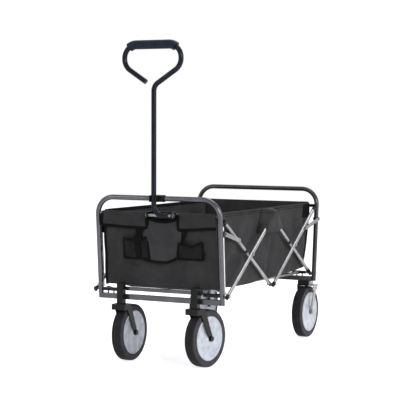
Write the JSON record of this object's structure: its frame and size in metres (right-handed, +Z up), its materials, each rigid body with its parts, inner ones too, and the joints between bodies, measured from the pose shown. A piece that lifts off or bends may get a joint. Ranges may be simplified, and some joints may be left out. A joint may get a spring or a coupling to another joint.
{
  "type": "folding cart",
  "caption": "Folding hand cart with a fabric basket between two tube hoops, crossed side bars, swivelling front wheels and a tilting pull handle.",
  "frame": {"origin": "on the floor, midway between the cart's foremost and rearmost points and midway across it", "axes": "+X to the cart's right as seen from the front, -Y towards the handle end, +Z up"},
  "size_m": [0.4868, 0.87, 1.0085],
  "materials": {
    "satin_gunmetal_tube": "satin gunmetal powder coat",
    "black_plastic": "moulded black nylon",
    "black_painted_steel": "semi-gloss black paint",
    "bright_steel_bar": "bright drawn steel with dark edges",
    "zinc_strap": "zinc plated",
    "dark_handle_tube": "blue-black gloss powder coat",
    "soft_grip": "foamed rubber, matt",
    "grey_fabric": "woven polyester, charcoal",
    "black_webbing": "black woven webbing",
    "black_rubber_tyre": "dark grey ribbed rubber",
    "pale_wheel_plastic": "pale blue-grey moulding"
  },
  "bodies": {
    "root": {"front_hoop": "satin_gunmetal_tube", "front_lower_tube": "satin_gunmetal_tube", "front_upper_tube": "satin_gunmetal_tube", "front_brackets": "black_plastic", "front_stems": "black_painted_steel", "front_bolts": "zinc_strap", "front_link_collars": "black_plastic", "front_rods": "bright_steel_bar", "handle_rail": "satin_gunmetal_tube", "handle_bracket": "black_painted_steel", "handle_pin": "zinc_strap", "handle_clip": "black_plastic", "front_panel": "grey_fabric", "front_pockets": "grey_fabric", "side_panel_left": "grey_fabric", "side_panel_right": "grey_fabric"},
    "front_rising_bars": {"front_rising_bar_left": "bright_steel_bar", "front_rising_bar_right": "bright_steel_bar", "front_rising_caps": "black_plastic", "front_cross_pins": "zinc_strap"},
    "front_falling_bars": {"front_falling_bar_left": "bright_steel_bar", "front_falling_bar_right": "bright_steel_bar", "front_falling_caps": "black_plastic"},
    "rear_falling_bars": {"rear_falling_bar_left": "bright_steel_bar", "rear_falling_bar_right": "bright_steel_bar", "rear_falling_caps": "black_plastic", "rear_cross_pins": "zinc_strap"},
    "rear_rising_bars": {"rear_rising_bar_left": "bright_steel_bar", "rear_rising_bar_right": "bright_steel_bar", "rear_rising_caps": "black_plastic", "centre_pins": "zinc_strap"},
    "top_joint": {"top_patches": "black_webbing"},
    "front_link_arms": {"front_links": "zinc_strap"},
    "rear_link_arms": {"rear_links": "zinc_strap"},
    "front_floor": {"front_floor_bars": "bright_steel_bar", "front_floor_cloth": "grey_fabric"},
    "rear_floor": {"rear_floor_bars": "bright_steel_bar", "rear_floor_cloth": "grey_fabric"},
    "rear_frame": {"rear_hoop": "satin_gunmetal_tube", "rear_lower_tube": "satin_gunmetal_tube", "rear_upper_tube": "satin_gunmetal_tube", "rear_brackets": "black_plastic", "rear_fork_left": "black_painted_steel", "rear_fork_right": "black_painted_steel", "rear_bolts": "zinc_strap", "rear_panel": "grey_fabric"},
    "handle": {"handle_tube": "dark_handle_tube", "handle_grip": "soft_grip"},
    "caster_left": {"caster_fork_left": "black_painted_steel"},
    "caster_right": {"caster_fork_right": "black_painted_steel"},
    "front_wheel_left": {"front_tyre_left": "black_rubber_tyre", "front_disc_left": "pale_wheel_plastic"},
    "front_wheel_right": {"front_tyre_right": "black_rubber_tyre", "front_disc_right": "pale_wheel_plastic"},
    "rear_wheel_left": {"rear_tyre_left": "black_rubber_tyre", "rear_disc_left": "pale_wheel_plastic"},
    "rear_wheel_right": {"rear_tyre_right": "black_rubber_tyre", "rear_disc_right": "pale_wheel_plastic"}
  },
  "joints": [
    {"name": "fold", "type": "hinge", "parent": "root", "child": "front_rising_bars", "pos_m": [0, -0.375, 0.229], "axis": [1, 0, 0], "range_deg": [0, 46.7], "deforming": ["side_panel_left", "side_panel_right", "front_floor_cloth", "rear_floor_cloth"]},
    {"name": "front_cross", "type": "hinge", "parent": "front_rising_bars", "child": "front_falling_bars", "pos_m": [0, -0.195, 0.3435], "axis": [1, 0, 0], "range_deg": [-93.9, 0]},
    {"name": "top_cross", "type": "hinge", "parent": "front_rising_bars", "child": "rear_falling_bars", "pos_m": [0, -0.015, 0.458], "axis": [1, 0, 0], "range_deg": [-93.9, 0]},
    {"name": "rear_cross", "type": "hinge", "parent": "rear_falling_bars", "child": "rear_rising_bars", "pos_m": [0, 0.165, 0.3435], "axis": [1, 0, 0], "range_deg": [0, 93.9]},
    {"name": "rear_leg_pivot", "type": "hinge", "parent": "rear_falling_bars", "child": "rear_frame", "pos_m": [0, 0.345, 0.229], "axis": [1, 0, 0], "range_deg": [0, 47.2]},
    {"name": "top_patch_pivot", "type": "hinge", "parent": "front_rising_bars", "child": "top_joint", "pos_m": [0, -0.015, 0.458], "axis": [1, 0, 0], "range_deg": [-47.2, 0]},
    {"name": "front_link_pivot", "type": "hinge", "parent": "root", "child": "front_link_arms", "pos_m": [0, -0.377, 0.419], "axis": [1, 0, 0], "range_deg": [0, 91.68]},
    {"name": "rear_link_pivot", "type": "hinge", "parent": "rear_frame", "child": "rear_link_arms", "pos_m": [0, 0.36416, 0.419], "axis": [1, 0, 0], "range_deg": [-82.02, 0]},
    {"name": "front_floor_hinge", "type": "hinge", "parent": "root", "child": "front_floor", "pos_m": [0, -0.355, 0.229], "axis": [1, 0, 0], "range_deg": [0, 80.28]},
    {"name": "rear_floor_hinge", "type": "hinge", "parent": "rear_frame", "child": "rear_floor", "pos_m": [0, 0.325, 0.229], "axis": [1, 0, 0], "range_deg": [-80.28, 0]},
    {"name": "handle_tilt", "type": "hinge", "parent": "root", "child": "handle", "pos_m": [0, -0.421, 0.472], "axis": [1, 0, 0], "range_deg": [0, 140]},
    {"name": "caster_swivel_left", "type": "hinge", "parent": "root", "child": "caster_left", "pos_m": [-0.13, -0.394, 0.1], "axis": [0, 0, 1], "continuous": true},
    {"name": "front_wheel_spin_left", "type": "hinge", "parent": "caster_left", "child": "front_wheel_left", "pos_m": [-0.13, -0.34, 0.09], "axis": [1, 0, 0], "continuous": true},
    {"name": "caster_swivel_right", "type": "hinge", "parent": "root", "child": "caster_right", "pos_m": [0.13, -0.394, 0.1], "axis": [0, 0, 1], "continuous": true},
    {"name": "front_wheel_spin_right", "type": "hinge", "parent": "caster_right", "child": "front_wheel_right", "pos_m": [0.13845, -0.34066, 0.09], "axis": [0.9877, -0.1564, 0], "continuous": true},
    {"name": "rear_wheel_spin_left", "type": "hinge", "parent": "rear_frame", "child": "rear_wheel_left", "pos_m": [-0.2, 0.345, 0.09], "axis": [1, 0, 0], "continuous": true},
    {"name": "rear_wheel_spin_right", "type": "hinge", "parent": "rear_frame", "child": "rear_wheel_right", "pos_m": [0.2, 0.345, 0.09], "axis": [1, 0, 0], "continuous": true}
  ],
  "couplings": [
    {"joint": "front_cross", "follows": "fold", "ratio": -2},
    {"joint": "top_cross", "follows": "fold", "ratio": -2},
    {"joint": "rear_cross", "follows": "fold", "ratio": 2},
    {"joint": "rear_leg_pivot", "follows": "fold", "ratio": 1},
    {"joint": "top_patch_pivot", "follows": "fold", "ratio": -1},
    {"joint": "front_link_pivot", "follows": "fold", "ratio": 1.9525},
    {"joint": "rear_link_pivot", "follows": "fold", "ratio": -1.7455},
    {"joint": "front_floor_hinge", "follows": "fold", "ratio": 1.7084},
    {"joint": "rear_floor_hinge", "follows": "fold", "ratio": -1.7084}
  ]
}
